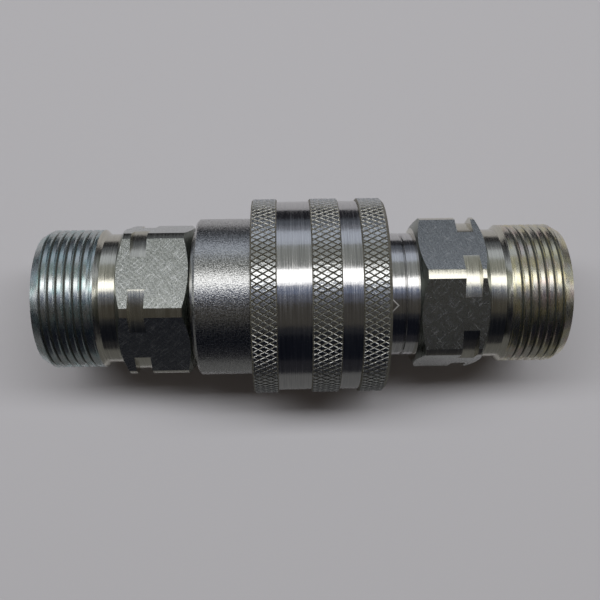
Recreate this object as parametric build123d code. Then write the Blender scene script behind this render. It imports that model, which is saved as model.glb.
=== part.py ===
from build123d import *
import os
from math import cos, radians, sin, tan

# Breakaway hydraulic coupling, coupled, lying with its axis along X.
# The socket half points to -X and the plug half to +X. Millimetres and degrees.

# Port studs: M36x2 outside, 24 degree cone and tube seat inside, the same at both ends
stud_thread_r = 18.0
stud_thread_length = 15.3
stud_thread_depth = 1.2
stud_neck_length = 4.0
stud_rim_depth = 1.4
stud_rim_angle = 30
stud_rim_width = 1.6
cone_rise = 1.0
cone_half_angle = 12
tube_seat_depth = 7.5
port_bore_r = 12.0

# Hexagons: 36 across the flats, corners turned off, with a turned groove
hex_half_width = 18.0
hex_corner_trim = 0.635
hex_face_inset = 0.6
hex_chamfer_angle = 30
hex_groove_width = 4.0
hex_groove_above_flat = 0.5
socket_hex_length = 18.2
socket_groove_setback = 3.5
socket_hex_turn = 50.6
plug_hex_length = 17.3
plug_groove_setback = 2.6
plug_hex_turn = 26.6

# How far a cut runs past the surface it opens
cut_margin = 1.0

# Clearances
sliding_gap = 0.08
ball_gap = 0.05
screwed_gap = 0.03
face_gap = 0.3

# Valves: both poppets hold each other open by this stroke
valve_stroke = 5.0
valve_nose_r = 3.6
valve_nose_chamfer = 0.6
valve_lip_gap = 0.4
valve_cone_gap = 0.6
valve_seal_r = 0.8
valve_seal_margin = 0.08
guide_legs = 3
guide_leg_width = 4.0

socket_hole_r = 10.0
socket_hole_length = 1.5
socket_head_overlap = 1.9
socket_head_rim = 2.0
socket_nose_length = 8.0
socket_stem_r = 4.0
socket_stem_length = 18.0
socket_chamber_run = 4.0
socket_guide_thickness = 2.0
socket_guide_hub_length = 5.0
socket_hub_wall = 3.4
socket_spring_wire_r = 0.8
socket_spring_mean_r = 6.4
socket_spring_turns = 5
socket_spring_coil_gap = 0.4

plug_hole_r = 7.8
plug_hole_length = 2.5
plug_head_overlap = 1.6
plug_head_rim = 2.5
plug_nose_length = 1.5
plug_stem_r = 3.0
plug_stem_length = 16.8
plug_chamber_r = 11.8
plug_guide_thickness = 1.9
plug_guide_lip = 1.4
plug_guide_hub_length = 5.5
plug_hub_wall = 3.2
plug_guide_overlap = 0.8
plug_spring_wire_r = 0.7
plug_spring_mean_r = 5.2
plug_spring_turns = 5

# Plug half
plug_tip_wall = 1.7
plug_tip_length = 12.0
plug_tip_chamfer = 1.0
plug_collar_step = 2.6
plug_collar_land = 1.1
plug_spigot_length = 7.55
plug_spigot_step = 2.1
plug_spigot_wall = 3.0
plug_ring_length = 3.25
parting_chamfer = 0.35

# Ball lock
ball_r = 2.5
ball_count = 16
ball_hole_mouth_r = 2.75
ball_hole_lip_r = 2.47
nose_wall = 2.92
nose_overhang = 6.25
nose_chamfer = 0.6

# Socket body
body_step = 1.3
body_edge_chamfer = 0.6
body_step_back = 0.35
joint_wall = 3.37
joint_length = 11.6
joint_gap = 0.9
joint_relief = 0.4
spigot_wall = 2.8

# Seals between the pieces
joint_ring_r = 0.8
joint_ring_setback = 2.8
joint_gland_slack = 0.6
nose_ring_r = 1.3
nose_gland_setback = 4.3
nose_gland_slack = 0.6
backup_thickness = 1.4

# Sleeve: three knurled bands, two plain bands
sleeve_land_length = 3.2
sleeve_mouth_length = 5.6
sleeve_relief_depth = 2.1
sleeve_relief_spare = 0.2
sleeve_wall = 2.1
sleeve_lip_length = 1.0
sleeve_edge_chamfer = 0.8
sleeve_rear_chamfer = 0.4
band_chamfer = 0.3
knurl_height = 0.7
rear_knurl_length = 6.35
wide_band_length = 8.3
middle_knurl_length = 7.2
narrow_band_length = 4.9
sleeve_spring_wire_r = 0.6
sleeve_spring_turns = 2.5
sleeve_spring_side_gap = 0.5
sleeve_spring_spare = 0.1
stop_ring_thickness = 1.5
stop_ring_depth = 0.9
stop_ring_split = 24
guide_ring_thickness = 1.4
retaining_ring_thickness = 1.2
retaining_ring_depth = 0.6
retaining_ring_width = 2.0
retaining_ring_split = 20
ring_gap = 0.03

# Radii that follow from the sizes above
stud_neck_r = stud_thread_r - stud_thread_depth
stud_rim_r = stud_thread_r - stud_rim_depth
cone_mouth_r = stud_rim_r - stud_rim_width
tube_seat_r = cone_mouth_r - cone_rise
hex_corner_r = hex_half_width / cos(radians(30)) - hex_corner_trim
hex_groove_r = hex_half_width + hex_groove_above_flat
plug_tip_r = plug_chamber_r + plug_tip_wall
collar_r = plug_tip_r + plug_collar_step
plug_spigot_r = collar_r - plug_spigot_step
plug_spigot_bore_r = plug_spigot_r - plug_spigot_wall
seal_bore_r = plug_tip_r + sliding_gap
nose_bore_r = collar_r + sliding_gap
nose_r = nose_bore_r + nose_wall
body_r = nose_r + body_step
spigot_r = body_r - joint_wall - screwed_gap
spigot_bore_r = spigot_r - spigot_wall
land_r = nose_r + sliding_gap
relief_r = land_r + sleeve_relief_depth
sleeve_spring_mean_r = body_r + sleeve_spring_side_gap + sleeve_spring_wire_r
chamber_r = sleeve_spring_mean_r + sleeve_spring_wire_r + sleeve_spring_side_gap
band_r = chamber_r + sleeve_wall
knurl_r = band_r + knurl_height
retaining_groove_r = chamber_r + retaining_ring_depth
ball_centre_r = land_r - ball_gap - ball_r
ball_groove_r = ball_centre_r - ball_r - ball_gap
ball_groove_root = (ball_r + ball_gap) * tan(radians(22.5))
ball_groove_half = ball_groove_root + collar_r - ball_groove_r

# Stations along the axis, counted from the plane where the two poppets meet
stud_length = stud_thread_length + stud_thread_depth + stud_neck_length
socket_cone_length = spigot_bore_r - socket_hole_r
plug_cone_length = plug_chamber_r - plug_hole_r
socket_seat_reach = valve_stroke + face_gap + socket_hole_length
spigot_reach = socket_seat_reach + socket_cone_length + socket_chamber_run
socket_reach = spigot_reach + joint_length + joint_gap + socket_hex_length + stud_length
collar_start = plug_tip_length + plug_collar_step - valve_stroke
ball_reach = collar_start + plug_collar_land + ball_groove_half
plug_guide_reach = ball_reach + ball_groove_half - plug_guide_overlap
parting_reach = plug_guide_reach + plug_guide_thickness + plug_spigot_length
plug_reach = parting_reach + plug_ring_length + plug_hex_length + stud_length

# The origin is halfway between the two port faces
meeting_x = (socket_reach - plug_reach) / 2
plug_face_x = meeting_x - valve_stroke
seat_face_x = plug_face_x - face_gap
socket_seat_x = meeting_x - socket_seat_reach
spigot_end_x = meeting_x - spigot_reach
body_rear_x = spigot_end_x - joint_length
socket_hex_x = body_rear_x - joint_gap
socket_neck_x = socket_hex_x - socket_hex_length
socket_port_x = socket_neck_x - stud_length
plug_seat_x = plug_face_x + plug_hole_length
shoulder_x = plug_face_x + plug_tip_length
ball_x = meeting_x + ball_reach
plug_guide_x = meeting_x + plug_guide_reach
plug_spigot_x = plug_guide_x + plug_guide_thickness
parting_x = meeting_x + parting_reach
plug_hex_x = parting_x + plug_ring_length
plug_neck_x = plug_hex_x + plug_hex_length
plug_port_x = plug_neck_x + stud_length
nose_end_x = ball_x + nose_overhang
bore_cone_x = shoulder_x - face_gap + sliding_gap

# Sleeve stations, and the travel that frees the balls either way
breakaway_stroke = sleeve_land_length / 2 + ball_r
land_rear_x = ball_x - sleeve_land_length / 2
land_front_x = ball_x + sleeve_land_length / 2
sleeve_front_x = land_front_x + sleeve_mouth_length
chamber_front_x = land_rear_x - 2 * ball_r - sleeve_relief_spare
sleeve_spring_solid = 2 * sleeve_spring_wire_r * sleeve_spring_turns
sleeve_spring_length = breakaway_stroke + sleeve_spring_solid + sleeve_spring_spare
stop_ring_x = chamber_front_x - sleeve_spring_length - stop_ring_thickness
chamber_rear_x = stop_ring_x - sleeve_spring_length
guide_ring_x = chamber_rear_x - guide_ring_thickness
retaining_ring_x = guide_ring_x - retaining_ring_thickness
sleeve_rear_x = retaining_ring_x - sleeve_lip_length
body_step_x = chamber_front_x - body_step_back


def turned(*points):
    """Solid of revolution about X from an outline of (x, radius) points."""
    outline = make_face(Polyline(*points, close=True))
    return revolve(outline, Axis.X, 360)


def tube(start, end, inner_r, outer_r):
    """Plain ring between two stations."""
    return turned((start, inner_r), (end, inner_r), (end, outer_r), (start, outer_r))


def round_ring(x, mean_r, section_r):
    """Ring of round section, such as an O-ring."""
    section = Pos(x, mean_r, 0) * Circle(section_r)
    return revolve(section, Axis.X, 360)


def split_ring(start, end, inner_r, outer_r, gap_angle):
    """Snap ring: a plain ring open by gap_angle, with the gap underneath."""
    section = make_face(Polyline((start, inner_r), (end, inner_r), (end, outer_r), (start, outer_r), close=True))
    return Rot(X=-90 + gap_angle / 2) * revolve(section, Axis.X, 360 - gap_angle)


def coil_spring(start, end, mean_r, wire_r, turns):
    """Coil spring of round wire whose first and last turns touch the two seats."""
    rise = end - start - 2 * wire_r
    path = Helix(rise / turns, rise, mean_r, center=(start + wire_r, 0, 0), direction=(1, 0, 0))
    section = Plane(path.position_at(0), z_dir=path.tangent_at(0)) * Circle(wire_r)
    return sweep(section, path, is_frenet=True)


def hexagon(start, length, turn, groove_x):
    """Hexagon with turned corners, chamfered ends and a groove turned round its corners."""
    flats = RegularPolygon(hex_half_width, 6, major_radius=False, rotation=turn)
    prism = extrude(Plane.YZ.offset(start) * flats, length)
    face_r = hex_half_width - hex_face_inset
    chamfer_length = (hex_corner_r - face_r) * tan(radians(hex_chamfer_angle))
    end = start + length
    corners = turned(
        (start, 0),
        (start, face_r),
        (start + chamfer_length, hex_corner_r),
        (end - chamfer_length, hex_corner_r),
        (end, face_r),
        (end, 0),
    )
    groove = tube(groove_x, groove_x + hex_groove_width, hex_groove_r, hex_corner_r + cut_margin)
    return (prism & corners) - groove


def port_stud(neck_x, port_x, toward):
    """Threaded stud from the hexagon to the port face; toward is -1 for the socket, +1 for the plug."""
    rim_length = stud_rim_depth / tan(radians(stud_rim_angle))
    thread_start = port_x - toward * stud_thread_length
    run_out = thread_start - toward * stud_thread_depth
    return turned(
        (neck_x, 0),
        (neck_x, stud_neck_r),
        (run_out, stud_neck_r),
        (thread_start, stud_thread_r),
        (port_x - toward * rim_length, stud_thread_r),
        (port_x, stud_rim_r),
        (port_x, 0),
    )


def port_bore(port_x, inner_x, toward):
    """Room inside a stud: 24 degree cone, tube seat and flow bore."""
    cone_length = cone_rise / tan(radians(cone_half_angle))
    seat_x = port_x - toward * tube_seat_depth
    return turned(
        (port_x, 0),
        (port_x, cone_mouth_r),
        (port_x - toward * cone_length, tube_seat_r),
        (seat_x, tube_seat_r),
        (seat_x, port_bore_r),
        (inner_x, port_bore_r),
        (inner_x, 0),
    )


def joint_gland(spigot_tip_x, toward, outer_r):
    """Groove for the O-ring near a spigot's tip."""
    near = spigot_tip_x + toward * joint_ring_setback
    far = near + toward * (2 * joint_ring_r + joint_gland_slack)
    return tube(min(near, far), max(near, far), outer_r - 2 * joint_ring_r, outer_r + cut_margin)


def joint_o_ring(spigot_tip_x, toward, outer_r):
    """O-ring in a spigot's gland."""
    middle = spigot_tip_x + toward * (joint_ring_setback + joint_ring_r + joint_gland_slack / 2)
    return round_ring(middle, outer_r - joint_ring_r, joint_ring_r)


def socket_adaptor():
    """Stud, hexagon and spigot in one piece; the spigot screws into the socket body."""
    groove_x = socket_neck_x + socket_groove_setback
    blank = port_stud(socket_neck_x, socket_port_x, -1)
    blank += hexagon(socket_neck_x, socket_hex_length, socket_hex_turn, groove_x)
    blank += turned(
        (socket_hex_x, 0),
        (socket_hex_x, spigot_r - joint_relief),
        (body_rear_x, spigot_r - joint_relief),
        (body_rear_x, spigot_r),
        (spigot_end_x, spigot_r),
        (spigot_end_x, 0),
    )
    guide_pocket = tube(socket_guide_seat_x, spigot_end_x, 0, spigot_bore_r)
    bore = port_bore(socket_port_x, spigot_end_x, -1)
    return blank - bore - guide_pocket - joint_gland(spigot_end_x, -1, spigot_r)


def ball_holes():
    """Tapered radial holes that let the balls reach in but not fall through."""
    inner_end = nose_bore_r - cut_margin
    outer_end = nose_r + cut_margin
    outline = Polyline(
        (0, 0, inner_end),
        (ball_hole_lip_r, 0, inner_end),
        (ball_hole_lip_r, 0, nose_bore_r),
        (ball_hole_mouth_r, 0, nose_r),
        (ball_hole_mouth_r, 0, outer_end),
        (0, 0, outer_end),
        close=True,
    )
    hole = Pos(ball_x, 0, 0) * revolve(make_face(outline), Axis.Z, 360)
    return [Rot(X=360 / ball_count * (number + 0.5)) * hole for number in range(ball_count)]


def socket_body():
    """Barrel and nose in one piece: valve seat, seal gland, ball holes and stop ring groove."""
    gland_x = seat_face_x + nose_gland_setback
    gland_length = 2 * nose_ring_r + backup_thickness + nose_gland_slack
    cone_top_x = bore_cone_x + nose_bore_r - seal_bore_r
    body = turned(
        (body_rear_x, spigot_r + screwed_gap),
        (spigot_end_x, spigot_r + screwed_gap),
        (spigot_end_x, spigot_bore_r),
        (socket_seat_x - socket_cone_length, spigot_bore_r),
        (socket_seat_x, socket_hole_r),
        (seat_face_x, socket_hole_r),
        (seat_face_x, seal_bore_r),
        (bore_cone_x, seal_bore_r),
        (cone_top_x, nose_bore_r),
        (nose_end_x - nose_chamfer, nose_bore_r),
        (nose_end_x, nose_bore_r + nose_chamfer),
        (nose_end_x, nose_r - nose_chamfer),
        (nose_end_x - nose_chamfer, nose_r),
        (body_step_x + body_step, nose_r),
        (body_step_x, body_r),
        (body_rear_x + body_edge_chamfer, body_r),
        (body_rear_x, body_r - body_edge_chamfer),
    )
    gland = tube(gland_x, gland_x + gland_length, seal_bore_r - cut_margin, seal_bore_r + 2 * nose_ring_r)
    stop_ring_end_x = stop_ring_x + stop_ring_thickness
    stop_groove = tube(stop_ring_x, stop_ring_end_x, body_r - stop_ring_depth, body_r + cut_margin)
    return body - gland - stop_groove - ball_holes()


def nose_o_ring():
    """O-ring round the plug tip."""
    middle = seat_face_x + nose_gland_setback + nose_gland_slack / 2 + nose_ring_r
    return round_ring(middle, seal_bore_r + nose_ring_r, nose_ring_r)


def nose_backup_ring():
    """Stiff ring that keeps the O-ring from being squeezed out on its low pressure side."""
    start = seat_face_x + nose_gland_setback + nose_gland_slack + 2 * nose_ring_r
    return tube(start, start + backup_thickness, seal_bore_r, seal_bore_r + 2 * nose_ring_r - ring_gap)


def locking_balls():
    """Ring of separate balls between the plug's groove and the sleeve's land."""
    ball = Pos(ball_x, 0, ball_centre_r) * Sphere(ball_r)
    return Compound([Rot(X=360 / ball_count * (number + 0.5)) * ball for number in range(ball_count)])


def sleeve():
    """Breakaway sleeve: knurled bands outside; land, reliefs, spring chamber and ring groove inside."""
    wide_band_x = sleeve_rear_x + rear_knurl_length
    middle_knurl_x = wide_band_x + wide_band_length
    narrow_band_x = middle_knurl_x + middle_knurl_length
    front_knurl_x = narrow_band_x + narrow_band_length
    body = turned(
        (sleeve_rear_x, chamber_r),
        (chamber_front_x, chamber_r),
        (chamber_front_x, relief_r),
        (land_rear_x - sleeve_relief_depth, relief_r),
        (land_rear_x, land_r),
        (land_front_x, land_r),
        (land_front_x + sleeve_relief_depth, relief_r),
        (sleeve_front_x, relief_r),
        (sleeve_front_x, knurl_r - sleeve_edge_chamfer),
        (sleeve_front_x - sleeve_edge_chamfer, knurl_r),
        (front_knurl_x + band_chamfer, knurl_r),
        (front_knurl_x, knurl_r - band_chamfer),
        (front_knurl_x, band_r),
        (narrow_band_x, band_r),
        (narrow_band_x, knurl_r - band_chamfer),
        (narrow_band_x - band_chamfer, knurl_r),
        (middle_knurl_x + band_chamfer, knurl_r),
        (middle_knurl_x, knurl_r - band_chamfer),
        (middle_knurl_x, band_r),
        (wide_band_x, band_r),
        (wide_band_x, knurl_r - band_chamfer),
        (wide_band_x - band_chamfer, knurl_r),
        (sleeve_rear_x + sleeve_rear_chamfer, knurl_r),
        (sleeve_rear_x, knurl_r - sleeve_rear_chamfer),
    )
    ring_groove = tube(retaining_ring_x, guide_ring_x, chamber_r - cut_margin, retaining_groove_r)
    return body - ring_groove


def sleeve_guide_ring():
    """Ring that slides on the barrel and closes the spring chamber."""
    return tube(guide_ring_x, chamber_rear_x, body_r + sliding_gap, chamber_r - ring_gap)


def sleeve_retaining_ring():
    """Snap ring in the sleeve that holds the guide ring."""
    outer_r = retaining_groove_r - ring_gap
    return split_ring(retaining_ring_x, guide_ring_x, outer_r - retaining_ring_width, outer_r, retaining_ring_split)


def sleeve_stop_ring():
    """Snap ring on the barrel that both sleeve springs push on."""
    inner_r = body_r - stop_ring_depth + ring_gap
    end = stop_ring_x + stop_ring_thickness
    return split_ring(stop_ring_x, end, inner_r, chamber_r - face_gap, stop_ring_split)


def rear_sleeve_spring():
    """Spring between the guide ring and the stop ring."""
    return coil_spring(
        chamber_rear_x, stop_ring_x, sleeve_spring_mean_r, sleeve_spring_wire_r, sleeve_spring_turns
    )


def front_sleeve_spring():
    """Spring between the stop ring and the sleeve's own step."""
    start = stop_ring_x + stop_ring_thickness
    return coil_spring(
        start, chamber_front_x, sleeve_spring_mean_r, sleeve_spring_wire_r, sleeve_spring_turns
    )


def head_back(seat_x, opens, overlap, rim):
    """Station of a poppet head's flat back with the valve open; opens is the opening direction."""
    return seat_x + opens * (overlap + valve_cone_gap + rim + valve_stroke)


def seal_centre(seat_x, opens, hole_r, overlap):
    """Place (x, radius) of the seal ring's centre in a poppet's 45 degree cone."""
    slope = sin(radians(45))
    protrusion = valve_cone_gap * slope - valve_seal_margin
    inset = (valve_seal_r - protrusion) * slope
    middle_r = hole_r + (overlap - valve_lip_gap) / 2
    cone_x = seat_x + opens * (middle_r - hole_r + valve_cone_gap + valve_stroke)
    return cone_x + opens * inset, middle_r - inset


def poppet(seat_x, opens, hole_r, overlap, rim, nose_length, stem_r, stem_length):
    """Nose, 45 degree sealing cone, head and stem in one turned piece, in the open position."""
    head_r = hole_r + overlap
    lip_r = hole_r - valve_lip_gap
    lip_x = seat_x + opens * (valve_cone_gap - valve_lip_gap + valve_stroke)
    rim_x = seat_x + opens * (overlap + valve_cone_gap + valve_stroke)
    back_x = head_back(seat_x, opens, overlap, rim)
    stem_x = back_x + opens * stem_length
    tip_chamfer = valve_nose_chamfer
    body = turned(
        (meeting_x, 0),
        (meeting_x, valve_nose_r - tip_chamfer),
        (meeting_x + opens * tip_chamfer, valve_nose_r),
        (meeting_x + opens * nose_length, valve_nose_r),
        (lip_x, lip_r),
        (rim_x, head_r),
        (back_x, head_r),
        (back_x, stem_r),
        (stem_x - opens * tip_chamfer, stem_r),
        (stem_x, stem_r - tip_chamfer),
        (stem_x, 0),
    )
    centre_x, centre_r = seal_centre(seat_x, opens, hole_r, overlap)
    return body - round_ring(centre_x, centre_r, valve_seal_r + ring_gap)


def poppet_seal(seat_x, opens, hole_r, overlap):
    """Rubber ring held in the cone's dovetail groove."""
    centre_x, centre_r = seal_centre(seat_x, opens, hole_r, overlap)
    return round_ring(centre_x, centre_r, valve_seal_r)


def valve_guide(face_x, opens, thickness, ring_r, ring_bore_r, hub_r, hub_bore_r, hub_length):
    """Ring, legs and hub in one piece; the poppet's stem slides in the hub."""
    back_x = face_x + opens * thickness
    hub_end_x = face_x + opens * hub_length
    guide = tube(min(face_x, back_x), max(face_x, back_x), ring_bore_r, ring_r)
    guide += tube(min(face_x, hub_end_x), max(face_x, hub_end_x), hub_bore_r, hub_r)
    leg_start = (hub_r + hub_bore_r) / 2
    leg_end = (ring_r + ring_bore_r) / 2
    leg = Pos((face_x + back_x) / 2, 0, (leg_start + leg_end) / 2) * Box(
        thickness, guide_leg_width, leg_end - leg_start
    )
    return guide + [Rot(X=360 / guide_legs * number) * leg for number in range(guide_legs)]


def socket_poppet():
    """Poppet of the socket half; it opens to -X."""
    return poppet(
        socket_seat_x, -1, socket_hole_r, socket_head_overlap, socket_head_rim,
        socket_nose_length, socket_stem_r, socket_stem_length,
    )


def socket_poppet_seal():
    """Seal ring of the socket poppet."""
    return poppet_seal(socket_seat_x, -1, socket_hole_r, socket_head_overlap)


def socket_valve_guide():
    """Guide in the socket adaptor's pocket, held there by the valve spring."""
    return valve_guide(
        socket_guide_x, -1, socket_guide_thickness, spigot_bore_r - ring_gap, port_bore_r,
        socket_stem_r + socket_hub_wall, socket_stem_r + sliding_gap, socket_guide_hub_length,
    )


def socket_valve_spring():
    """Spring between the guide and the back of the socket poppet's head."""
    return coil_spring(
        socket_guide_x, socket_back_x, socket_spring_mean_r, socket_spring_wire_r, socket_spring_turns
    )


def plug_poppet():
    """Poppet of the plug half; it opens to +X."""
    return poppet(
        plug_seat_x, 1, plug_hole_r, plug_head_overlap, plug_head_rim,
        plug_nose_length, plug_stem_r, plug_stem_length,
    )


def plug_poppet_seal():
    """Seal ring of the plug poppet."""
    return poppet_seal(plug_seat_x, 1, plug_hole_r, plug_head_overlap)


def plug_valve_guide():
    """Guide clamped between the plug body's shoulder and the plug adaptor's spigot."""
    return valve_guide(
        plug_guide_x, 1, plug_guide_thickness, plug_chamber_r + plug_guide_lip - ring_gap, plug_spigot_bore_r,
        plug_stem_r + plug_hub_wall, plug_stem_r + sliding_gap, plug_guide_hub_length,
    )


def plug_valve_spring():
    """Spring between the back of the plug poppet's head and the guide."""
    return coil_spring(
        plug_back_x, plug_guide_x, plug_spring_mean_r, plug_spring_wire_r, plug_spring_turns
    )


def plug_body():
    """Tip, shoulder and collar with the ball groove; valve seat and chamber inside."""
    return turned(
        (plug_face_x, plug_hole_r),
        (plug_seat_x, plug_hole_r),
        (plug_seat_x + plug_cone_length, plug_chamber_r),
        (plug_guide_x, plug_chamber_r),
        (plug_guide_x, plug_chamber_r + plug_guide_lip),
        (plug_spigot_x, plug_chamber_r + plug_guide_lip),
        (plug_spigot_x, plug_spigot_r + screwed_gap),
        (parting_x, plug_spigot_r + screwed_gap),
        (parting_x, collar_r - parting_chamfer),
        (parting_x - parting_chamfer, collar_r),
        (ball_x + ball_groove_half, collar_r),
        (ball_x + ball_groove_root, ball_groove_r),
        (ball_x - ball_groove_root, ball_groove_r),
        (ball_x - ball_groove_half, collar_r),
        (shoulder_x + plug_collar_step, collar_r),
        (shoulder_x, plug_tip_r),
        (plug_face_x + plug_tip_chamfer, plug_tip_r),
        (plug_face_x, plug_tip_r - plug_tip_chamfer),
    )


def plug_adaptor():
    """Spigot, ring, hexagon and stud in one piece; the spigot screws into the plug body."""
    groove_x = plug_neck_x - plug_groove_setback - hex_groove_width
    blank = port_stud(plug_neck_x, plug_port_x, 1)
    blank += hexagon(plug_hex_x, plug_hex_length, plug_hex_turn, groove_x)
    blank += turned(
        (plug_spigot_x, 0),
        (plug_spigot_x, plug_spigot_r),
        (parting_x, plug_spigot_r),
        (parting_x, collar_r - parting_chamfer),
        (parting_x + parting_chamfer, collar_r),
        (plug_hex_x, collar_r),
        (plug_hex_x, 0),
    )
    bore = port_bore(plug_port_x, plug_hex_x, 1)
    spigot_bore = tube(plug_spigot_x, plug_hex_x, 0, plug_spigot_bore_r)
    return blank - bore - spigot_bore - joint_gland(plug_spigot_x, 1, plug_spigot_r)


# The socket's guide stands one open spring length behind the poppet's head
socket_back_x = head_back(socket_seat_x, -1, socket_head_overlap, socket_head_rim)
socket_spring_open = socket_spring_turns * (2 * socket_spring_wire_r + socket_spring_coil_gap)
socket_guide_x = socket_back_x - socket_spring_open
socket_guide_seat_x = socket_guide_x - socket_guide_thickness
plug_back_x = head_back(plug_seat_x, 1, plug_head_overlap, plug_head_rim)

pieces = {
    "socket_adaptor": socket_adaptor(),
    "adaptor_o_ring": joint_o_ring(spigot_end_x, -1, spigot_r),
    "socket_body": socket_body(),
    "nose_o_ring": nose_o_ring(),
    "nose_backup_ring": nose_backup_ring(),
    "locking_balls": locking_balls(),
    "socket_poppet": socket_poppet(),
    "socket_poppet_seal": socket_poppet_seal(),
    "socket_valve_guide": socket_valve_guide(),
    "socket_valve_spring": socket_valve_spring(),
    "sleeve": sleeve(),
    "sleeve_guide_ring": sleeve_guide_ring(),
    "sleeve_retaining_ring": sleeve_retaining_ring(),
    "sleeve_stop_ring": sleeve_stop_ring(),
    "rear_sleeve_spring": rear_sleeve_spring(),
    "front_sleeve_spring": front_sleeve_spring(),
    "plug_body": plug_body(),
    "plug_adaptor": plug_adaptor(),
    "plug_joint_o_ring": joint_o_ring(plug_spigot_x, 1, plug_spigot_r),
    "plug_poppet": plug_poppet(),
    "plug_poppet_seal": plug_poppet_seal(),
    "plug_valve_guide": plug_valve_guide(),
    "plug_valve_spring": plug_valve_spring(),
}

os.makedirs("parts", exist_ok=True)
for name, piece in pieces.items():
    export_step(piece, f"parts/{name}.step")
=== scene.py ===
from math import cos, hypot, pi, radians, sin, tan

import bmesh
import bpy
from mathutils import Matrix, Vector


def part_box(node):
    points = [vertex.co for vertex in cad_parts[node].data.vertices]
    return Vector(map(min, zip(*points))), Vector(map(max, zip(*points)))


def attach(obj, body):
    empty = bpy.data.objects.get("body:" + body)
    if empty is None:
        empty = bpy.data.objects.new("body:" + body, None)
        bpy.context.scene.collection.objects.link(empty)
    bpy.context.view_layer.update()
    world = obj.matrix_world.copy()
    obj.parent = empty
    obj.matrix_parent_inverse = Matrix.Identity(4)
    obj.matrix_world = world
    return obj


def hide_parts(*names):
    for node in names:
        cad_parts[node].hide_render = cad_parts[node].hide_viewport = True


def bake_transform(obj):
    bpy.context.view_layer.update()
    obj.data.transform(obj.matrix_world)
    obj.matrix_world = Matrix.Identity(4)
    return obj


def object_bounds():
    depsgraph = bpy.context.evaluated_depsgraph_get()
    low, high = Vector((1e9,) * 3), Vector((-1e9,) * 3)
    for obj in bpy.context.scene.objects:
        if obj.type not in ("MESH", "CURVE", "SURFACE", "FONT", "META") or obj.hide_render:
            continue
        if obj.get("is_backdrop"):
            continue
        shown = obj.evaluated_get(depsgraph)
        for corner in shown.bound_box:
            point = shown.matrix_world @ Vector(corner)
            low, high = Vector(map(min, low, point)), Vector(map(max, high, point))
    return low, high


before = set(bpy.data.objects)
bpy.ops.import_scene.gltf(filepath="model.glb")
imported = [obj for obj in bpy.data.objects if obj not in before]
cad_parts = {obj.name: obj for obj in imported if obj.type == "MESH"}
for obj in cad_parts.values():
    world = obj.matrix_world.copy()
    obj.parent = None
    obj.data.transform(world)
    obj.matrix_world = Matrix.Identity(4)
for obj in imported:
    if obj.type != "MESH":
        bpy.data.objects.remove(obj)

cadLow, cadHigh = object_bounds()
mm = 0.001
topCollection = bpy.context.scene.collection


# Camera, set where the photograph was taken from: above the coupling, leaning a little towards -Y

cameraView = {
    "foot": -4.15,          # place on the axis that the camera stands over, mm
    "distance": 207.8,      # from the axis, mm
    "lean": 10.0,           # degrees from straight above
    "yaw": 0.99,            # degrees, the left end is nearer
    "roll": 0.82,           # degrees, the right end is higher in the picture
    "lens": 47.09,
    "sensor": 36.0,
    "shiftY": -0.0075,
    "nearest": 0.01,        # metres
}


def addCamera(view):
    lean, yaw, roll = (radians(view[key]) for key in ("lean", "yaw", "roll"))
    toCamera = Vector((0, -sin(lean), cos(lean)))
    upward = Vector((0, cos(lean), sin(lean)))
    along = Vector((1, 0, 0))
    right = along * cos(yaw) + toCamera * sin(yaw)
    backward = toCamera * cos(yaw) - along * sin(yaw)
    axes = Matrix((right * cos(roll) - upward * sin(roll), upward * cos(roll) + right * sin(roll), backward))
    data = bpy.data.cameras.new("photoCamera")
    data.lens = view["lens"]
    data.sensor_width = view["sensor"]
    data.shift_y = view["shiftY"]
    data.clip_start = view["nearest"]
    camera = bpy.data.objects.new("photoCamera", data)
    place = Vector((view["foot"] * mm, 0, 0)) + toCamera * view["distance"] * mm
    camera.matrix_world = Matrix.Translation(place) @ axes.transposed().to_4x4()
    topCollection.objects.link(camera)
    bpy.context.scene.camera = camera


addCamera(cameraView)
print("camera set")


# Mesh tools

weldDistance = 1e-7     # metres


def meshObject(name, points, faces):
    data = bpy.data.meshes.new(name)
    data.from_pydata(points, [], faces)
    data.update()
    made = bpy.data.objects.new(name, data)
    topCollection.objects.link(made)
    return made


def aboutAxis(x, r, angle):
    # x and radius in mm, the angle from +Y towards +Z
    return x * mm, r * mm * cos(angle), r * mm * sin(angle)


def lathe(name, outline, steps):
    # turns a closed outline of (x, radius) in mm about the X axis
    points, faces = [], []
    count = len(outline)
    for step in range(steps):
        angle = 2 * pi * step / steps
        points += [aboutAxis(x, r, angle) for x, r in outline]
    for step in range(steps):
        near, far = step * count, (step + 1) % steps * count
        for here in range(count):
            after = (here + 1) % count
            faces.append((near + here, near + after, far + after, far + here))
    made = meshObject(name, points, faces)
    faceOutward(made)
    return made


def faceOutward(made):
    work = bmesh.new()
    work.from_mesh(made.data)
    bmesh.ops.remove_doubles(work, verts=work.verts, dist=weldDistance)
    bmesh.ops.recalc_face_normals(work, faces=work.faces)
    if work.calc_volume(signed=True) < 0:
        bmesh.ops.reverse_faces(work, faces=work.faces)
    work.to_mesh(made.data)
    work.free()


def combine(made, tool, how):
    # joins, cuts or trims one closed piece with another, and drops the second
    change = made.modifiers.new("shape", "BOOLEAN")
    change.operation = how
    change.object = tool
    change.solver = "MANIFOLD"
    keepShape(made)
    bpy.data.objects.remove(tool)


def keepShape(made):
    # the mesh as its modifiers show it becomes the piece's own
    bpy.context.view_layer.update()
    shaped = made.evaluated_get(bpy.context.evaluated_depsgraph_get())
    data = bpy.data.meshes.new_from_object(shaped)
    made.modifiers.clear()
    made.data = data


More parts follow.
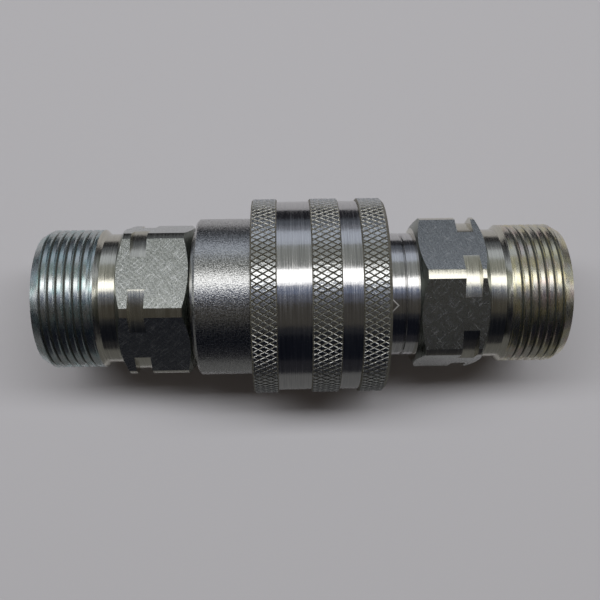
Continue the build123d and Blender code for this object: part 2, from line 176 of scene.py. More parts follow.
def shadeByAngle(made, degrees):
    made.data.shade_smooth()
    work = bmesh.new()
    work.from_mesh(made.data)
    for edge in work.edges:
        if len(edge.link_faces) == 2 and edge.calc_face_angle(0) > radians(degrees):
            edge.smooth = False
    work.to_mesh(made.data)
    work.free()
    flatter = made.modifiers.new("flatFaces", "WEIGHTED_NORMAL")
    flatter.keep_sharp = True
    keepShape(made)


def closedSkin(name, spots, top, innerR):
    # spots are (x, angle, radius), top holds the outer faces; the back of the skin lies at innerR
    back = len(spots)
    points = [aboutAxis(x, r, angle) for x, angle, r in spots]
    points += [aboutAxis(x, innerR, angle) for x, angle, r in spots]
    edges = dict.fromkeys(edge for face in top for edge in zip(face, face[1:] + face[:1]))
    faces = top + [tuple(back + corner for corner in reversed(face)) for face in top]
    faces += [(b, a, back + a, back + b) for a, b in edges if (b, a) not in edges]
    used = sorted({corner for face in faces for corner in face})
    place = {corner: number for number, corner in enumerate(used)}
    made = meshObject(name, [points[c] for c in used], [tuple(place[c] for c in face) for face in faces])
    faceOutward(made)
    return made


# Threaded stud, hexagon and spigot: both adaptors

threadShape = {
    "crestR": 17.98, "rootR": 17.3, "pitch": 2.0,
    "crest": 1.08, "root": 0.12,       # flats along the axis, mm
    "crestBreak": 0.11,                # rounding at the crest's edges, mm
    "phase": 0.36,                     # shifts the ridges along the axis, mm
    "plainCrest": 0.3, "fade": 1.2,    # where the groove has run out, and how long it takes, mm
    "behind": 1.2,                     # from the root to the back of the skin, mm
    "spareTurns": 2,                   # past each end, for the envelope to trim
    "steps": 180,
}


def threadSkin(name, stud, shape):
    # a skin wound about the axis: a row of spots goes round once and ends where the row one pitch on starts
    start, end = sorted((stud["threadEnd"], stud["port"]))
    pitch, crest, root, soft = shape["pitch"], shape["crest"], shape["root"], shape["crestBreak"]
    flank = (pitch - crest - root) / 2
    crestR, rootR = shape["crestR"], shape["rootR"]
    # one pitch from crest to crest, as (place, radius)
    profile = [
        (0, crestR - soft), (soft, crestR), (crest - soft, crestR), (crest, crestR - soft),
        (crest + flank / 2, (crestR + rootR) / 2), (crest + flank, rootR),
        (crest + flank + root / 2, rootR - soft), (crest + flank + root, rootR),
        (pitch - flank / 2, (crestR + rootR) / 2),
    ]
    steps, spare = shape["steps"], shape["spareTurns"]

    def depthLeft(x):
        beyond = abs(x) - abs(stud["threadEnd"]) - shape["plainCrest"]
        return min(max(beyond / shape["fade"], 0), 1)

    spots = []
    for turn in range(int((end - start) / pitch) + 2 * spare):
        for place, r in profile:
            x = start - spare * pitch + turn * pitch + place + shape["phase"]
            for step in range(steps):
                here = x + pitch * step / steps
                spots.append((here, 2 * pi * step / steps, crestR - (crestR - r) * depthLeft(here)))

    def at(row, step):
        if step == steps:
            row, step = row + len(profile), 0
        return row * steps + step

    top, rows = [], len(spots) // steps
    for row in range(rows - 1):
        for step in range(steps):
            if step < steps - 1 or row + len(profile) + 1 < rows:
                top.append((at(row, step), at(row, step + 1), at(row + 1, step + 1), at(row + 1, step)))
    return closedSkin(name, spots, top, rootR - shape["behind"])


hexShape = {
    "halfWidth": 18.0, "cornerR": 20.15,    # from the axis to a flat, and to a turned corner, mm
    "faceR": 17.4, "chamfer": 30,           # end face, and its chamfer in degrees
    "grooveR": 18.5, "grooveWidth": 4.0,
    "edge": 0.14, "edgeOver": 12,           # softening, mm, of edges that turn more than this, degrees
    "coreR": 5, "outsideR": 22,             # inner and outer reach of the tools that trim it
    "steps": 240,
}


def hexagon(name, stud, shape):
    start, end, grooveStart = stud["hexStart"], stud["hexEnd"], stud["grooveStart"]
    corner = shape["halfWidth"] / cos(radians(30))
    spots = [(x, stud["turn"] + 60 * side) for x in (start, end) for side in range(6)]
    points = [aboutAxis(x, corner, radians(angle)) for x, angle in spots]
    faces = [tuple(range(6)), tuple(range(6, 12))]
    faces += [(side, (side + 1) % 6, (side + 1) % 6 + 6, side + 6) for side in range(6)]
    made = meshObject(name, points, faces)
    faceOutward(made)
    slope = (shape["cornerR"] - shape["faceR"]) * tan(radians(shape["chamfer"]))
    corners = lathe("hexCorners", [
        (start, shape["coreR"]), (start, shape["faceR"]), (start + slope, shape["cornerR"]),
        (end - slope, shape["cornerR"]), (end, shape["faceR"]), (end, shape["coreR"]),
    ], shape["steps"])
    combine(made, corners, "INTERSECT")
    grooveEnd = grooveStart + shape["grooveWidth"]
    groove = lathe("hexGroove", [
        (grooveStart, shape["grooveR"]), (grooveEnd, shape["grooveR"]),
        (grooveEnd, shape["outsideR"]), (grooveStart, shape["outsideR"]),
    ], shape["steps"])
    combine(made, groove, "DIFFERENCE")
    soften = made.modifiers.new("edges", "BEVEL")
    soften.width = shape["edge"] * mm
    soften.segments = 2
    soften.limit_method = "ANGLE"
    soften.angle_limit = radians(shape["edgeOver"])
    keepShape(made)
    return made


# inside: from the hexagon's far face back to the port's bore, as the CAD has it
socketStud = {
    "toward": -1, "port": -66.376, "rim": -63.951, "threadEnd": -51.076, "neckStart": -49.876,
    "hexStart": -45.876, "hexEnd": -27.676, "turn": 50.6, "grooveStart": -42.376,
    "inside": [
        (-27.9, 16.8), (-27.676, 16.6), (-26.776, 16.6), (-26.776, 17.0), (-21.476, 17.0), (-21.476, 15.4),
        (-19.276, 15.4), (-19.276, 17.0), (-16.476, 17.0), (-16.476, 14.2), (-28.476, 14.2), (-28.476, 12.0),
    ],
}
plugStud = {
    "toward": 1, "port": 66.376, "rim": 63.951, "threadEnd": 51.076, "neckStart": 49.876,
    "hexStart": 28.576, "hexEnd": 45.876, "turn": 26.6, "grooveStart": 39.276,
    "inside": [
        (28.9, 16.8), (28.576, 16.1), (25.676, 16.1), (25.326, 15.75), (25.326, 14.0), (22.776, 14.0),
        (22.776, 12.4), (20.576, 12.4), (20.576, 14.0), (17.776, 14.0), (17.776, 11.0), (28.576, 11.0),
        (28.576, 12.0),
    ],
}
studShape = {
    "rimR": 16.6, "neckR": 16.8, "mouthR": 15.0, "seatR": 14.0, "boreR": 12.0,
    "coneDepth": 4.705, "seatDepth": 7.5,
    "rimSlope": 0.577,                      # the crest's fall along the rim's chamfer
    "coreR": 16.3, "coreChamfer": 0.4,      # under the thread skin
    "sunk": 0.5,                            # how far the neck runs into the hexagon
    "envelopeR": 15.7, "fullR": 18.0,       # inside and outside of what trims the thread skin
    "runOutR": 16.5, "runOutPast": 0.3,     # where that envelope ends beside the neck
    "hexInnerR": 14.5, "cutFromR": 1, "cutHalf": 80, "cutSteps": 48,    # takes the hexagon's core out
    "steps": 180, "sharpOver": 30,
}


def adaptor(name, stud, shape):
    port, toward, core = stud["port"], stud["toward"], shape["coreR"]
    neck = stud["hexStart"] if toward < 0 else stud["hexEnd"]
    cone, seat = port - toward * shape["coneDepth"], port - toward * shape["seatDepth"]
    made = lathe(name, [
        (port, shape["mouthR"]), (port, core - shape["coreChamfer"]),
        (port - toward * shape["coreChamfer"], core), (stud["threadEnd"], core),
        (stud["neckStart"], shape["neckR"]), (neck - toward * shape["sunk"], shape["neckR"]),
        *stud["inside"],
        (seat, shape["boreR"]), (seat, shape["seatR"]), (cone, shape["seatR"]),
    ], shape["steps"])
    hexPiece = hexagon("hexPiece", stud, hexShape)
    half, innerR, outerR = shape["cutHalf"], shape["cutFromR"], shape["hexInnerR"]
    bore = lathe("boreCut", [
        (-half, outerR), (half, outerR), (half, innerR), (-half, innerR),
    ], shape["cutSteps"])
    combine(hexPiece, bore, "DIFFERENCE")
    thread = threadSkin("threadPiece", stud, threadShape)
    runOut = stud["neckStart"] - toward * shape["runOutPast"]
    envelope = lathe("threadEnvelope", [
        (runOut, shape["envelopeR"]), (runOut, shape["runOutR"]),
        (stud["threadEnd"], shape["fullR"]), (stud["rim"], shape["fullR"]),
        (port, shape["rimR"]), (port, shape["envelopeR"]),
    ], shape["steps"])
    combine(thread, envelope, "INTERSECT")
    combine(made, thread, "UNION")
    combine(made, hexPiece, "UNION")
    shadeByAngle(made, shape["sharpOver"])
    return made


socketPiece = adaptor("socketAdaptor", socketStud, studShape)
plugPiece = adaptor("plugAdaptor", plugStud, studShape)
for piece, node, body in ((socketPiece, "socket_adaptor", "socket"), (plugPiece, "plug_adaptor", "plug")):
    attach(piece, body)
    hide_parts(node)
print("adaptors made")


# Sleeve with its three knurled bands

sleeveShape = {
    "rear": -12.7, "front": 20.8, "knurlR": 25.385, "bandR": 24.7,
    "rearKnurlEnd": -6.35, "middleStart": 1.95, "middleEnd": 9.15, "frontStart": 14.05,
    "frontChamfer": 0.8, "rearChamfer": 0.4, "bandChamfer": 0.3,
    "rearEdge": 0.4, "frontEdge": (0.4, 0.45),      # of the tube under the bands: along the axis, and inward
    # from rear to front, as the CAD has it
    "inside": [
        (-12.7, 22.6), (-11.7, 22.6), (-11.7, 23.2), (-10.5, 23.2), (-10.5, 22.6), (6.8, 22.6),
        (6.8, 21.28), (9.9, 21.28), (12.0, 19.18), (15.2, 19.18), (17.3, 21.28), (20.8, 21.28),
    ],
    "skinR": 23.6, "trimR": 23.9,                   # inside of a knurled skin, and of the ring that trims it
    "spare": 0.3,                                   # how far that ring reaches past the diamonds
    "steps": 240, "sharpOver": 25,
}
knurl = {
    "around": 100, "along": 2.75,       # diamonds round the sleeve, and their pitch along it in mm
    "depth": 0.24, "crossDepth": 0.17,  # of the grooves one way and the other, mm
    "flank": 0.14,                      # the flank's share of a diamond
    "spareRows": (4, 3),                # of half diamonds past each end, for the band's ring to trim
}


def knurlSkin(name, start, end, shape, outerR, innerR):
    # diamonds in the slanted coordinates u and v; whole numbers are the bottoms of the grooves
    around, along, flank = shape["around"], shape["along"], shape["flank"]
    deep, cross = shape["depth"], shape["crossDepth"]
    before, after = shape["spareRows"]
    first, last = int(2 * start / along) - before, int(2 * end / along) + after
    # across one diamond: the place, and the share of the groove's depth there
    marks = [(0, 1), (flank, 0), (1 - flank, 0), (1, 1)]
    numbers, spots, faces = {}, [], []

    def spot(u, v, depth):
        # corners that meet get one number
        s, d = (u + v) / 2, (u - v) / 2 % around
        key = (round(s * 1000), round(d * 1000) % (around * 1000))
        if key not in numbers:
            numbers[key] = len(spots)
            spots.append((s * along, 2 * pi * d / around, outerR - depth))
        return numbers[key]

    for total in range(first, last):
        for pair in range(around):
            i = (total + 2 * pair + total % 2) // 2
            j = total - i
            for lowU, highU in zip(marks, marks[1:]):
                for lowV, highV in zip(marks, marks[1:]):
                    corners = (lowU, lowV), (highU, lowV), (highU, highV), (lowU, highV)
                    faces.append(tuple(
                        spot(i + u, j + v, max(deep * low, cross * crossLow))
                        for (u, low), (v, crossLow) in corners
                    ))
    return closedSkin(name, spots, faces, innerR)


def knurledSleeve(name, shape, pattern):
    rear, front, bandR, top = shape["rear"], shape["front"], shape["bandR"], shape["knurlR"]
    edge, spare, rearEdge = shape["bandChamfer"], shape["spare"], shape["rearEdge"]
    along, inward = shape["frontEdge"]
    made = lathe(name, [
        *shape["inside"],
        (front, bandR - inward), (front - along, bandR), (shape["middleStart"], bandR),
        (rear + rearEdge, bandR), (rear, bandR - rearEdge),
    ], shape["steps"])
    bands = (
        (rear, shape["rearKnurlEnd"], shape["rearChamfer"], edge),
        (shape["middleStart"], shape["middleEnd"], edge, edge),
        (shape["frontStart"], front, edge, shape["frontChamfer"]),
    )
    for start, end, cutStart, cutEnd in bands:
        skin = knurlSkin("knurlSkin", start, end, pattern, top, shape["skinR"])
        ring = lathe("bandRing", [
            (start, shape["trimR"]), (start, top - cutStart), (start + cutStart + spare, top + spare),
            (end - cutEnd - spare, top + spare), (end, top - cutEnd), (end, shape["trimR"]),
        ], shape["steps"])
        combine(skin, ring, "INTERSECT")
        combine(made, skin, "UNION")
    shadeByAngle(made, shape["sharpOver"])
    return made


sleevePiece = knurledSleeve("knurledSleeve", sleeveShape, knurl)
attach(sleevePiece, "sleeve_group")
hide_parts("sleeve")
print("sleeve made")


# Springs, each built between the two bodies that it pushes on

springs = {
    # CAD node: wire radius in mm, turns, and the bodies at its low and high end
    "rear_sleeve_spring": (0.6, 2.5, "sleeve_group", "socket"),
    "front_sleeve_spring": (0.6, 2.5, "socket", "sleeve_group"),
    "socket_valve_spring": (0.8, 5, "socket", "socket_valve"),
    "plug_valve_spring": (0.7, 5, "plug_valve", "plug"),
}
springWire = {
    "aroundWire": 14, "perTurn": 56, "sharpOver": 40,
    "tip": 0.6, "tipTurn": 0.12,        # the tips' share of the wire's width, and of a turn
}


def coilSpring(name, low, high, wireR, turns, wire):
    # a round wire from seat to seat; its tips narrow as ground ends do
    meanR = (high.y - low.y) / 2 / mm - wireR
    start, end = low.x / mm + wireR, high.x / mm - wireR
    steps, sides = int(turns * wire["perTurn"]), wire["aroundWire"]
    points, faces = [], []
    for step in range(steps + 1):
        share = step / steps
        turn = 2 * pi * turns * share
        full = min(share, 1 - share) * turns / wire["tipTurn"]
        thin = wireR * (wire["tip"] + (1 - wire["tip"]) * min(full, 1))
        x = start + (end - start) * share
        for side in range(sides):
            angle = 2 * pi * side / sides
            r = meanR + thin * cos(angle)
            points.append(((x + thin * sin(angle)) * mm, r * mm * sin(turn), r * mm * cos(turn)))
    for step in range(steps):
        near, far = step * sides, (step + 1) * sides
        for side in range(sides):
            after = (side + 1) % sides
            faces.append((near + side, near + after, far + after, far + side))
    faces += [tuple(range(sides)), tuple(steps * sides + side for side in reversed(range(sides)))]
    made = meshObject(name, points, faces)
    faceOutward(made)
    shadeByAngle(made, wire["sharpOver"])
    return made


springPieces = []
for node, (wireR, turns, lowBody, highBody) in springs.items():
    low, high = (Vector(corner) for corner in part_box(node))
    words = node.split("_")
    name = words[0] + "".join(word.title() for word in words[1:])
    piece = coilSpring(name, low, high, wireR, turns, springWire)
    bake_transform(piece)
    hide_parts(node)
    springPieces.append(piece)
print("springs made")


# Node helpers; what they take is a number or another node's output

def feed(tree, socket, value):
    if hasattr(value, "is_linked"):
        tree.links.new(value, socket)
    else:
        socket.default_value = value


def maths(tree, how, first, second=0.0):
    node = tree.nodes.new("ShaderNodeMath")
    node.operation = how
    feed(tree, node.inputs[0], first)
    feed(tree, node.inputs[1], second)
    return node.outputs[0]


def times(tree, first, second):
    return maths(tree, "MULTIPLY", first, second)


def spread(tree, value, start, end, toStart=0.0, toEnd=1.0):
    node = tree.nodes.new("ShaderNodeMapRange")
    for socket, number in zip(node.inputs, (value, start, end, toStart, toEnd)):
        feed(tree, socket, number)
    return node.outputs[0]


def objectPlace(tree):
    # each piece's own origin is the middle of the coupling
    return tree.nodes.new("ShaderNodeTexCoord").outputs["Object"]


def glow(name, colour):
    material = bpy.data.materials.new(name)
    material.use_nodes = True
    tree = material.node_tree
    tree.nodes.clear()
    output = tree.nodes.new("ShaderNodeOutputMaterial")
    light = tree.nodes.new("ShaderNodeEmission")
    light.inputs["Color"].default_value = (*colour, 1)
    tree.links.new(light.outputs[0], output.inputs["Surface"])
    return material


# Floor, lamp, world, and the cards that the metal mirrors

worldLook = {"ambient": (0.092, 0.078, 0.068), "background": (0.44, 0.44, 0.45)}
floorLook = {
    "half": 5.0, "level": cadLow.z,     # metres
    "fade": (0.25, 1.1),                # from the coupling, metres
    "colour": (0.43, 0.428, 0.443), "rough": 0.85, "specular": 0.2,
}


def addFloor(look, background):
    half, level = look["half"], look["level"]
    points = [(-half, -half, level), (half, -half, level), (half, half, level), (-half, half, level)]
    made = meshObject("floor", points, [(0, 1, 2, 3)])
    material = bpy.data.materials.new("paleFloor")
    material.use_nodes = True
    tree = material.node_tree
    shader = tree.nodes["Principled BSDF"]
    shader.inputs["Base Color"].default_value = (*look["colour"], 1)
    shader.inputs["Roughness"].default_value = look["rough"]
    shader.inputs["Specular IOR Level"].default_value = look["specular"]
    # far off, where the lamp fades, the camera sees the background's own tone
    away = tree.nodes.new("ShaderNodeVectorMath")
    away.operation = "LENGTH"
    tree.links.new(objectPlace(tree), away.inputs[0])
    share = spread(tree, away.outputs["Value"], *look["fade"])
    backdrop = tree.nodes.new("ShaderNodeEmission")
    backdrop.inputs["Color"].default_value = (*background, 1)
    seen = tree.nodes.new("ShaderNodeLightPath").outputs["Is Camera Ray"]
    mix = tree.nodes.new("ShaderNodeMixShader")
    tree.links.new(times(tree, share, seen), mix.inputs[0])
    tree.links.new(shader.outputs[0], mix.inputs[1])
    tree.links.new(backdrop.outputs[0], mix.inputs[2])
    tree.links.new(mix.outputs[0], tree.nodes["Material Output"].inputs["Surface"])
    made.data.materials.append(material)
    made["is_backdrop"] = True


cards = {
    "radius": 0.9, "halfLength": 4.5,   # of the vault that they form over the coupling, metres
    "steps": 6,
    # each zone: from, to in degrees from straight up towards +Y, and its colour
    "zones": [
        (96, 80, (0.10, 0.11, 0.13)), (80, 72, (0.19, 0.20, 0.23)), (72, 52, (0.50, 0.54, 0.62)),
        (52, 22, (0.25, 0.26, 0.25)), (22, 20, (0.8, 0.8, 0.8)), (20, 4, (2.2, 2.2, 2.2)),
        (4, 2, (0.8, 0.82, 0.9)), (2, -8, (0.17, 0.20, 0.29)), (-8, -18, (0.10, 0.105, 0.13)),
        (-18, -46, (0.058, 0.054, 0.048)), (-46, -56, (0.02, 0.021, 0.025)),
        (-56, -96, (0.006, 0.007, 0.011)),
    ],
    # on the floor: side, from, to in mm from the axis, and colour; these sheets, darker than the lit floor,
    # are painted shade that the metal mirrors in the floor's place
    "floor": [
        (-1, 30, 95, (0.12, 0.12, 0.12)), (-1, 95, 900, (0.02, 0.02, 0.024)),
        (1, 110, 900, (0.02, 0.02, 0.024)),
    ],
    "lift": 0.2,                        # of those over the floor, mm
}


def addCard(name, points, faces, colour):
    # only reflections show it
    card = meshObject(name, points, faces)
    card.data.materials.append(glow(name, colour))
    card.visible_camera = card.visible_diffuse = card.visible_shadow = False
    card.visible_transmission = card.visible_volume_scatter = False
    card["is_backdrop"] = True


def addCards(setup):
    radius, half, steps = setup["radius"], setup["halfLength"], setup["steps"]
    faces = [(2 * step, 2 * step + 1, 2 * step + 3, 2 * step + 2) for step in range(steps)]
    for number, (start, end, colour) in enumerate(setup["zones"]):
        points = []
        for step in range(steps + 1):
            angle = radians(start + (end - start) * step / steps)
            points += [(x, radius * sin(angle), radius * cos(angle)) for x in (-half, half)]
        addCard(f"card{number}", points, faces, colour)
    level = cadLow.z + setup["lift"] * mm
    for number, (side, near, far, colour) in enumerate(setup["floor"]):
        near, far = side * near * mm, side * far * mm
        points = [(-half, near, level), (half, near, level), (half, far, level), (-half, far, level)]
        addCard(f"floorShadeCard{number}", points, [(0, 1, 2, 3)], colour)


keyLamp = {
    "angle": 12.5,                      # degrees from straight up towards +Y
    "distance": 0.85, "length": 1.7, "width": 0.19,
    "power": 10.4, "colour": (0.985, 0.985, 1.0),
}


def addLamp(name, setup):
    angle = radians(setup["angle"])
    data = bpy.data.lights.new(name, "AREA")
    data.shape = "RECTANGLE"
    data.size, data.size_y = setup["length"], setup["width"]
    data.color = setup["colour"]
    data.energy = setup["power"]
    lamp = bpy.data.objects.new(name, data)
    lamp.location = (0, setup["distance"] * sin(angle), setup["distance"] * cos(angle))
    lamp.rotation_euler = (-angle, 0, 0)
    lamp.visible_glossy = False         # the metal mirrors the cards instead
    topCollection.objects.link(lamp)


def addWorld(look):
    # the background is what is seen or mirrored, the ambient tone is what lights
    world = bpy.data.worlds.new("studio")
    world.use_nodes = True
    tree = world.node_tree
    tree.nodes.clear()
    output = tree.nodes.new("ShaderNodeOutputWorld")
    path = tree.nodes.new("ShaderNodeLightPath")
    seen = maths(tree, "MAXIMUM", path.outputs["Is Camera Ray"], path.outputs["Is Glossy Ray"])
    seen = maths(tree, "MAXIMUM", seen, path.outputs["Is Transmission Ray"])
    mix = tree.nodes.new("ShaderNodeMixShader")
    tree.links.new(seen, mix.inputs[0])
    for slot, key in ((1, "ambient"), (2, "background")):
        light = tree.nodes.new("ShaderNodeBackground")
        light.inputs["Color"].default_value = (*look[key], 1)
        tree.links.new(light.outputs[0], mix.inputs[slot])
    tree.links.new(mix.outputs[0], output.inputs["Surface"])
    bpy.context.scene.world = world


addFloor(floorLook, worldLook["background"])
addCards(cards)
addLamp("key", keyLamp)
addWorld(worldLook)
bpy.context.scene.view_settings.view_transform = "Standard"
print("floor and light set")


# Materials

noiseDetail = {"soft": 1.0, "plain": 2.0, "fine": 3.0}
wideSpan, midSpan = (0.3, 0.7), (0.35, 0.65)    # noise values that a finish changes between


def grain(tree, size, detail="plain", place=None):
    # noise whose grains are size mm long in x, y and z
    stretch = tree.nodes.new("ShaderNodeVectorMath")
    stretch.operation = "MULTIPLY"
    tree.links.new(objectPlace(tree) if place is None else place, stretch.inputs[0])
    stretch.inputs[1].default_value = [1 / (length * mm) for length in size]
    noise = tree.nodes.new("ShaderNodeTexNoise")
    noise.inputs["Scale"].default_value = 1
    noise.inputs["Detail"].default_value = noiseDetail[detail]
    tree.links.new(stretch.outputs[0], noise.inputs["Vector"])
    return noise.outputs[0]


def mixed(tree, amount, first, second):
    node = tree.nodes.new("ShaderNodeMix")
    node.data_type = "RGBA"
    feed(tree, node.inputs[0], amount)
    for socket, colour in ((node.inputs[6], first), (node.inputs[7], second)):
        feed(tree, socket, (*colour, 1) if isinstance(colour, tuple) else colour)
    return node.outputs[2]


def aroundAxis(tree):
    # x, the angle from +Y towards +Z, and the distance from the axis
    parts = tree.nodes.new("ShaderNodeSeparateXYZ")
    tree.links.new(objectPlace(tree), parts.inputs[0])
    x, y, z = parts.outputs
    angle = maths(tree, "ARCTAN2", z, y)
    r = maths(tree, "SQRT", maths(tree, "ADD", times(tree, y, y), times(tree, z, z)))
    return x, angle, r


def finish(name, colour, rough, height, metal=1.0):
    # each of these is a function of the node tree; height is in mm, and metal may be a number
    material = bpy.data.materials.new(name)
    material.use_nodes = True
    tree = material.node_tree
    shader = tree.nodes["Principled BSDF"]
    feed(tree, shader.inputs["Metallic"], metal(tree) if callable(metal) else metal)
    feed(tree, shader.inputs["Base Color"], colour(tree))
    feed(tree, shader.inputs["Roughness"], rough(tree))
    bump = tree.nodes.new("ShaderNodeBump")
    bump.inputs["Distance"].default_value = mm
    feed(tree, bump.inputs["Height"], height(tree))
    tree.links.new(bump.outputs[0], shader.inputs["Normal"])
    return material


turned = {
    "band": {"light": (0.72, 0.71, 0.70), "dark": (0.50, 0.50, 0.50), "rough": (0.10, 0.24)},
    "stud": {"light": (0.74, 0.72, 0.62), "dark": (0.52, 0.50, 0.43), "rough": (0.13, 0.27)},
    # the chamfer tone is darker than the bands: a painted reflection of the dark sleeve and gap
    "chamfer": {"light": (0.40, 0.42, 0.38), "dark": (0.24, 0.26, 0.23), "rough": (0.24, 0.38)},
    # the inner tone is the inner parts' own; on the socket's relief it is painted shade
    "inner": {"light": (0.52, 0.52, 0.50), "dark": (0.34, 0.34, 0.33), "rough": (0.22, 0.38)},
    "line": (0.30, 11.0, 11.0),         # a lathe line's width, and how far round it keeps its tone, mm
    "chatter": (0.30, 1.5, 1.5),        # the same of its relief
    "depth": 0.022,
}


def turnedColour(tree, look):
    lines = spread(tree, grain(tree, turned["line"], "fine"), *wideSpan)
    return mixed(tree, lines, look["dark"], look["light"])


def turnedRough(tree, look):
    return spread(tree, grain(tree, turned["line"], "fine"), *wideSpan, *look["rough"])


def turnedHeight(tree):
    return times(tree, grain(tree, turned["chatter"]), turned["depth"])


def lathedSteel(name, kind):
    look = turned[kind]
    return finish(
        name, lambda tree: turnedColour(tree, look), lambda tree: turnedRough(tree, look), turnedHeight,
    )


tumbled = {
    "light": (0.75, 0.75, 0.735), "dark": (0.33, 0.33, 0.325), "rough": (0.18, 0.34),
    "speckle": (0.32,) * 3, "speckleSpan": (0.36, 0.62), "depth": 0.052,
    "cloud": (4.0,) * 3, "cloudShade": 0.08,
    "sleeveEnd": (-13.2, -12.8), "relief": (1.0, 0.15),     # under the sleeve the body is only turned, mm
}


def tumbledSteel(name, look):
    def colour(tree):
        speckle = spread(tree, grain(tree, look["speckle"]), *look["speckleSpan"])
        clouds = spread(tree, grain(tree, look["cloud"]), *wideSpan, 0.0, look["cloudShade"])
        return mixed(tree, clouds, mixed(tree, speckle, look["dark"], look["light"]), look["dark"])

    def rough(tree):
        return spread(tree, grain(tree, look["speckle"], "fine"), *midSpan, *look["rough"])

    def height(tree):
        relief = spread(tree, aroundAxis(tree)[0], *(x * mm for x in look["sleeveEnd"]), *look["relief"])
        return times(tree, grain(tree, look["speckle"], "soft"), times(tree, relief, look["depth"]))

    return finish(name, colour, rough, height)


milled = {
    "light": (0.66, 0.68, 0.655), "dark": (0.50, 0.515, 0.50), "rough": (0.20, 0.32),
    "speckle": (0.24,) * 3, "speckleSpan": (0.36, 0.64), "depth": 0.012,
    "scratch": 0.24, "scratchLength": 6.0, "scratchSpan": (0.655, 0.70),    # width and length in mm
    "scratchLight": (0.80, 0.80, 0.80), "scratchShare": 0.7, "scratchDepth": 0.010, "scratchRough": 0.5,
    "arcFrom": (-52.0, -8.0, 30.0), "arcPitch": 0.9,                        # centre and pitch of sweeps, mm
    "arcDepth": 0.004, "arcShade": 0.3,
}


def milledSteel(name, look):
    def scratches(tree):
        # two sets of fine lines that cross, laid out on the unrolled surface
        x, angle, r = aroundAxis(tree)
        around = times(tree, angle, hexShape["halfWidth"] * mm)
        place = tree.nodes.new("ShaderNodeCombineXYZ")
        tree.links.new(maths(tree, "ADD", x, around), place.inputs[0])
        tree.links.new(maths(tree, "SUBTRACT", x, around), place.inputs[1])
        fine, long = look["scratch"], look["scratchLength"]
        one = grain(tree, (fine, long, 1), "soft", place.outputs[0])
        other = grain(tree, (long, fine, 1), "soft", place.outputs[0])
        return spread(tree, maths(tree, "MAXIMUM", one, other), *look["scratchSpan"])

    def arcs(tree):
        away = tree.nodes.new("ShaderNodeVectorMath")
        away.operation = "DISTANCE"
        tree.links.new(objectPlace(tree), away.inputs[0])
        away.inputs[1].default_value = [length * mm for length in look["arcFrom"]]
        return maths(tree, "SINE", times(tree, away.outputs["Value"], 2 * pi / (look["arcPitch"] * mm)))

    def colour(tree):
        speckle = spread(tree, grain(tree, look["speckle"]), *look["speckleSpan"])
        swept = spread(tree, arcs(tree), 0.0, 1.0, 0.0, look["arcShade"])
        metal = mixed(tree, swept, mixed(tree, speckle, look["dark"], look["light"]), look["dark"])
        return mixed(tree, times(tree, scratches(tree), look["scratchShare"]), metal, look["scratchLight"])

    def rough(tree):
        plain = spread(tree, grain(tree, look["speckle"], "fine"), *midSpan, *look["rough"])
        return maths(tree, "MAXIMUM", plain, times(tree, scratches(tree), look["scratchRough"]))

    def height(tree):
        cut = times(tree, scratches(tree), -look["scratchDepth"])
        swept = maths(tree, "ADD", cut, times(tree, arcs(tree), look["arcDepth"]))
        return maths(tree, "ADD", times(tree, grain(tree, look["speckle"]), look["depth"]), swept)

    return finish(name, colour, rough, height)


threadLook = {
    "gold": (0.82, 0.74, 0.44), "teal": (0.46, 0.62, 0.62),
    "pink": (0.72, 0.56, 0.50), "pale": (0.70, 0.76, 0.76),
    "plain": {"teal": (0.56, 0.58, 0.57), "gold": (0.66, 0.65, 0.57)},      # where a tint is weakest
    # the groove tone is painted shade, darkening the thread towards its roots
    "groove": (0.36, 0.365, 0.34), "grooveRough": 0.45,
    "grooveShadeDepths": (0.55, 0.25),          # depths under the crest where the painted shade of the groove is full and where it ends, mm
    "patch": (5.0,) * 3, "patchSpan": (0.48, 0.66),
    "spot": (1.4, 3.0, 3.0), "spotSpan": (0.4, 0.62), "tint": (0.15, 0.7),
    "line": (0.2, 1.2, 1.2), "rough": (0.20, 0.32), "depth": 0.014,
}


def threadSteel(name, look, first, second):
    def onCrest(tree):
        # by the depth under the crest, which slopes down over the rim's chamfer; below the crest the groove
        # takes painted shade
        x, angle, r = aroundAxis(tree)
        pastRim = maths(tree, "SUBTRACT", maths(tree, "ABSOLUTE", x), plugStud["rim"] * mm)
        fall = times(tree, maths(tree, "MAXIMUM", pastRim, 0.0), studShape["rimSlope"])
        under = maths(tree, "SUBTRACT", maths(tree, "SUBTRACT", threadShape["crestR"] * mm, fall), r)
        return spread(tree, under, *(depth * mm for depth in look["grooveShadeDepths"]))

    def colour(tree):
        patches = spread(tree, grain(tree, look["patch"], "soft"), *look["patchSpan"])
        share = spread(tree, grain(tree, look["spot"], "soft"), *look["spotSpan"], *look["tint"])
        crest = mixed(tree, share, look["plain"][first], mixed(tree, patches, look[first], look[second]))
        return mixed(tree, onCrest(tree), look["groove"], crest)

    def rough(tree):
        plain = spread(tree, grain(tree, look["line"]), *wideSpan, *look["rough"])
        return maths(tree, "MAXIMUM", plain, spread(tree, onCrest(tree), 0.0, 1.0, look["grooveRough"], 0.0))

    return finish(name, colour, rough, lambda tree: times(tree, grain(tree, look["line"]), look["depth"]))


knurlLook = {
    # the groove tone is painted shade: the knurl's grooves darker and browner than its tops
    "top": (0.66, 0.67, 0.66), "groove": (0.28, 0.262, 0.205),
    "topUnder": (0.08, 0.02),           # below the top, where the groove's painted shade ends and the top's tone starts, mm
    "worn": (0.36, 0.36, 0.35), "wornSpan": (0.45, 0.7), "wornShare": 0.6,
    "rough": (0.16, 0.32), "grooveRough": 0.5,
    "speckle": (0.55,) * 3, "depth": 0.055,
}


